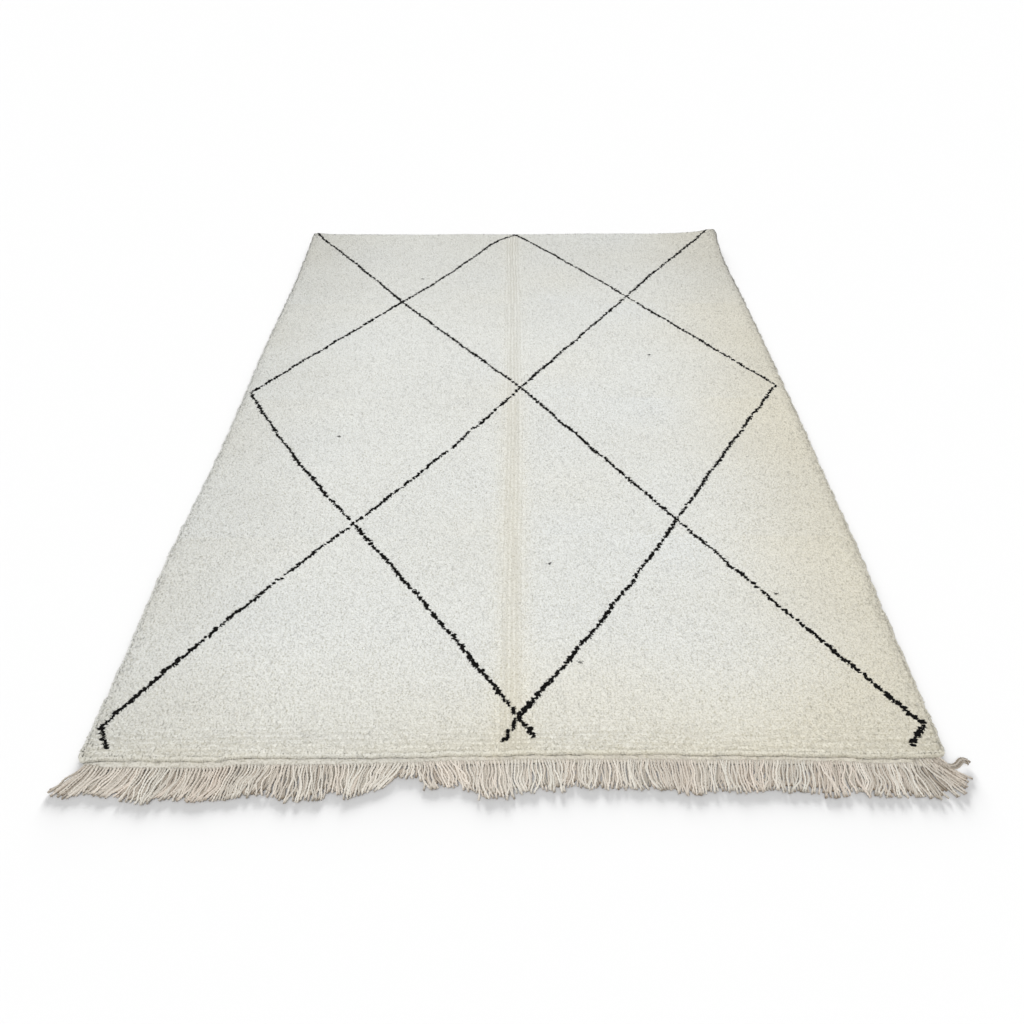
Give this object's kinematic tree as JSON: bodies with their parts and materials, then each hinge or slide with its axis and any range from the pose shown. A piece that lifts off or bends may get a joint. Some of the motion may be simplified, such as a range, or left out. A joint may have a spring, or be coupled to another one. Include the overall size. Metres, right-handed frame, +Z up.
{
  "type": "beni ourain rug",
  "caption": "Flat cream wool pile rug with a dark diamond lattice, a flat-woven end and a plied string fringe along that end.",
  "frame": {"origin": "on the floor under the middle of the rug's footprint, fringe included", "axes": "+Z up from the floor to the pile, Y along the rug with the fringed end towards -Y, X across it"},
  "size_m": [2.0846, 3.118, 0.0406],
  "materials": {
    "cream_wool_pile": "short dense cut pile of undyed cream sheep's wool, matt",
    "warp_wool": "plied undyed beige wool, flat-woven and left as strings, matt",
    "black_wool_pile": "short dense cut pile of natural black-brown sheep's wool, matt"
  },
  "bodies": {
    "root": {"pile_field": "cream_wool_pile", "woven_end_fringe": "warp_wool"}
  },
  "joints": []
}
